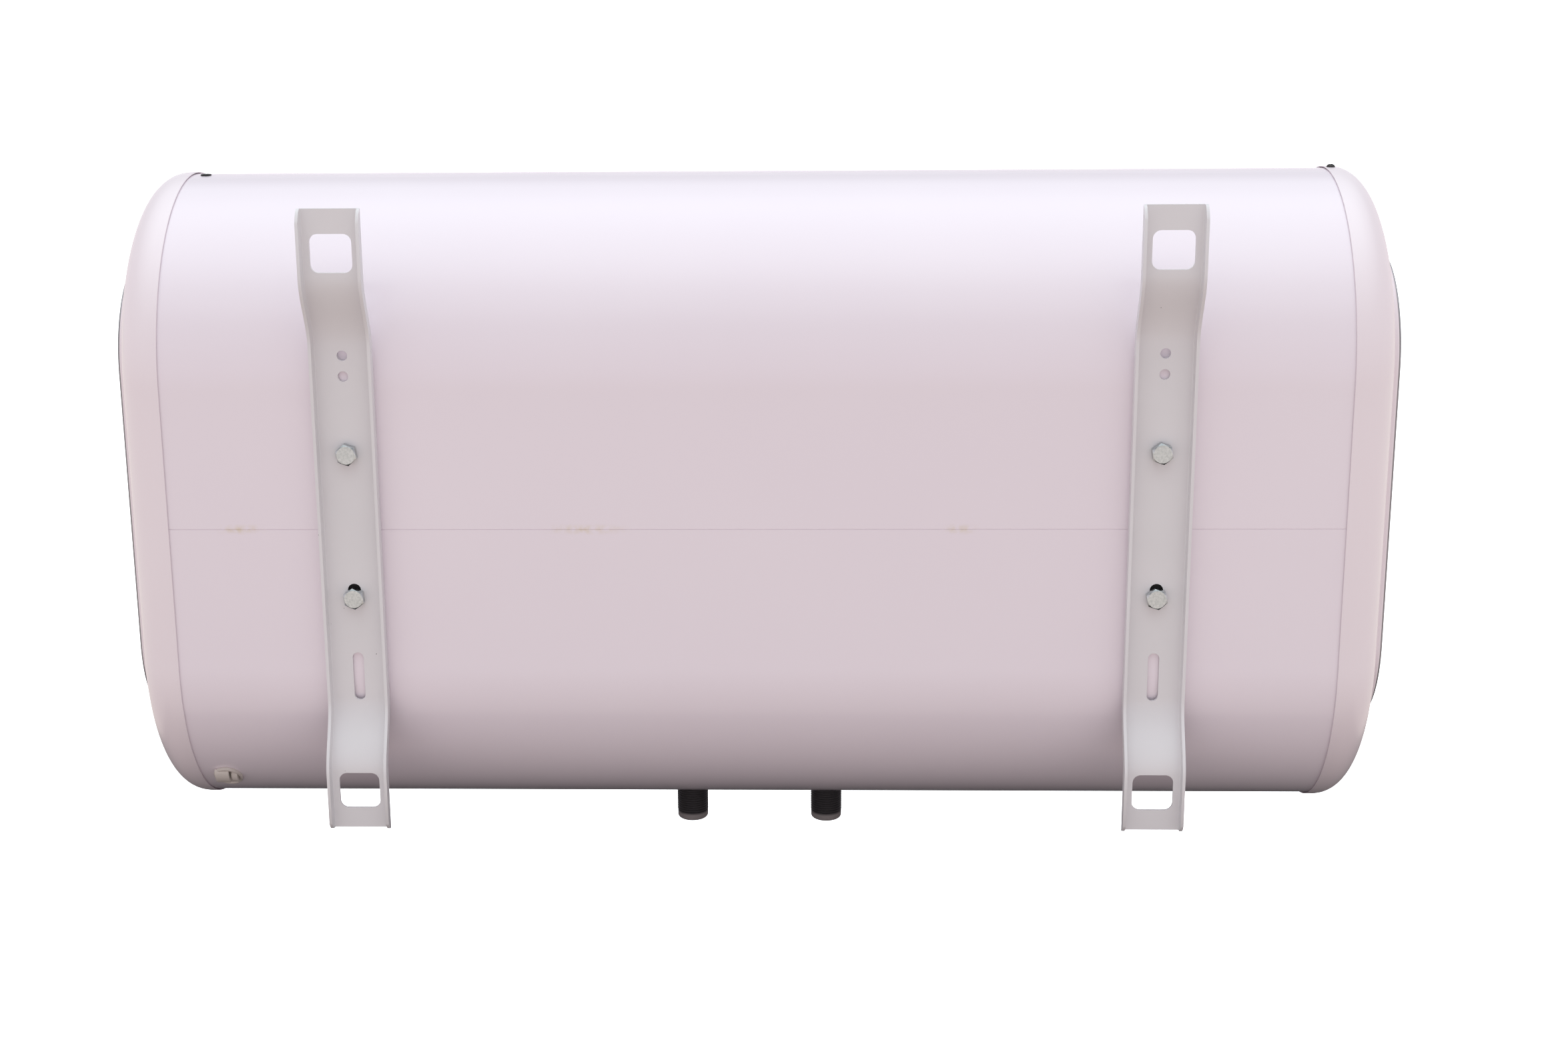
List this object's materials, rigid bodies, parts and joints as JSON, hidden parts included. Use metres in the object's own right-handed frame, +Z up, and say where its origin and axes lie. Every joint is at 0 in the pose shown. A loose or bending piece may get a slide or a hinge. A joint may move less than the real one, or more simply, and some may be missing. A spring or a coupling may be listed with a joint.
{
  "type": "tank water heater",
  "caption": "Horizontal wall-hung electric storage water heater with a flat oval white casing, moulded end caps, stepped hanging brackets and bottom pipe connections.",
  "frame": {"origin": "on the wall plane, midway between the two hanging brackets, at the casing's mid-height", "axes": "+Y points into the wall, +Z up, +X along the casing towards the electrical end, which is on the right of a user who faces the heater's front"},
  "size_m": [0.8766, 0.3074, 0.4859],
  "materials": {
    "casing_paint": "gloss",
    "cap_plastic": "gloss",
    "trim_grey": "satin",
    "bracket_coat": "satin",
    "zinc": "polished",
    "black_plastic": "satin",
    "black_screw": "satin",
    "black_rubber": "matte",
    "gland_plastic": "satin",
    "foam": "matte",
    "tank_enamel": "satin",
    "steel": "satin",
    "element_sheath": "satin",
    "anode_magnesium": "matte",
    "circuit_board": "satin",
    "dark_pane": "gloss"
  },
  "bodies": {
    "heater": {"outer_casing": "casing_paint", "foam_insulation": "foam", "end_cap_right": "cap_plastic", "end_cap_left": "cap_plastic", "end_panel_right": "cap_plastic", "end_panel_left": "cap_plastic", "end_trim_right": "trim_grey", "end_trim_left": "trim_grey", "foam_hole_plug": "black_plastic", "cap_screw_left_top": "black_screw", "cap_screw_left_bottom": "black_screw", "cap_screw_right_bottom": "black_screw", "hanging_bracket_right": "bracket_coat", "hanging_bracket_left": "bracket_coat", "bracket_bolt_right_upper": "zinc", "bracket_bolt_right_lower": "zinc", "bracket_bolt_left_upper": "zinc", "bracket_bolt_left_lower": "zinc", "tank_strap_right": "steel", "tank_strap_left": "steel", "upper_tank": "tank_enamel", "lower_tank": "tank_enamel", "crossover_sleeve": "steel", "crossover_pipe": "steel", "hot_outlet_nipple": "steel", "cold_inlet_nipple": "steel", "hot_outlet_seal": "black_rubber", "cold_inlet_seal": "black_rubber", "hot_water_pipe": "steel", "inlet_diffuser": "cap_plastic", "upper_flange_gasket": "black_rubber", "lower_flange_gasket": "black_rubber", "upper_flange": "steel", "lower_flange": "steel", "upper_heating_element": "element_sheath", "lower_heating_element": "element_sheath", "upper_thermowell": "steel", "lower_thermowell": "steel", "anode_rod": "anode_magnesium", "upper_flange_bolt_1": "zinc", "upper_flange_bolt_2": "zinc", "upper_flange_bolt_3": "zinc", "lower_flange_bolt_1": "zinc", "lower_flange_bolt_2": "zinc", "lower_flange_bolt_3": "zinc", "cord_gland_rim": "gland_plastic", "cord_gland_jaws": "gland_plastic", "component_plate": "steel", "relay_board": "circuit_board", "terminal_block": "cap_plastic", "thermal_cutout": "black_plastic", "control_panel": "cap_plastic", "display_window": "dark_pane", "control_board": "circuit_board"},
    "temperature_knob": {"temperature_knob": "trim_grey"},
    "power_button": {"power_button": "cap_plastic"},
    "mode_button": {"mode_button": "cap_plastic"},
    "hot_protector": {"hot_outlet_thread_protector": "black_plastic"},
    "cold_protector": {"cold_inlet_thread_protector": "black_plastic"}
  },
  "joints": [
    {"name": "knob_turn", "type": "hinge", "parent": "heater", "child": "temperature_knob", "pos_m": [0.281, -0.3, 0], "axis": [0, 1, 0], "range_deg": [0, 270]},
    {"name": "power_press", "type": "slide", "parent": "heater", "child": "power_button", "axis": [0, 1, 0], "range_m": [0, 0.0015], "stiffness_N_per_m": 600},
    {"name": "mode_press", "type": "slide", "parent": "heater", "child": "mode_button", "axis": [0, 1, 0], "range_m": [0, 0.0015], "stiffness_N_per_m": 600},
    {"name": "hot_protector_pull", "type": "slide", "parent": "heater", "child": "hot_protector", "axis": [0, 0, -1], "range_m": [0, 0.03]},
    {"name": "cold_protector_pull", "type": "slide", "parent": "heater", "child": "cold_protector", "axis": [0, 0, -1], "range_m": [0, 0.03]}
  ]
}
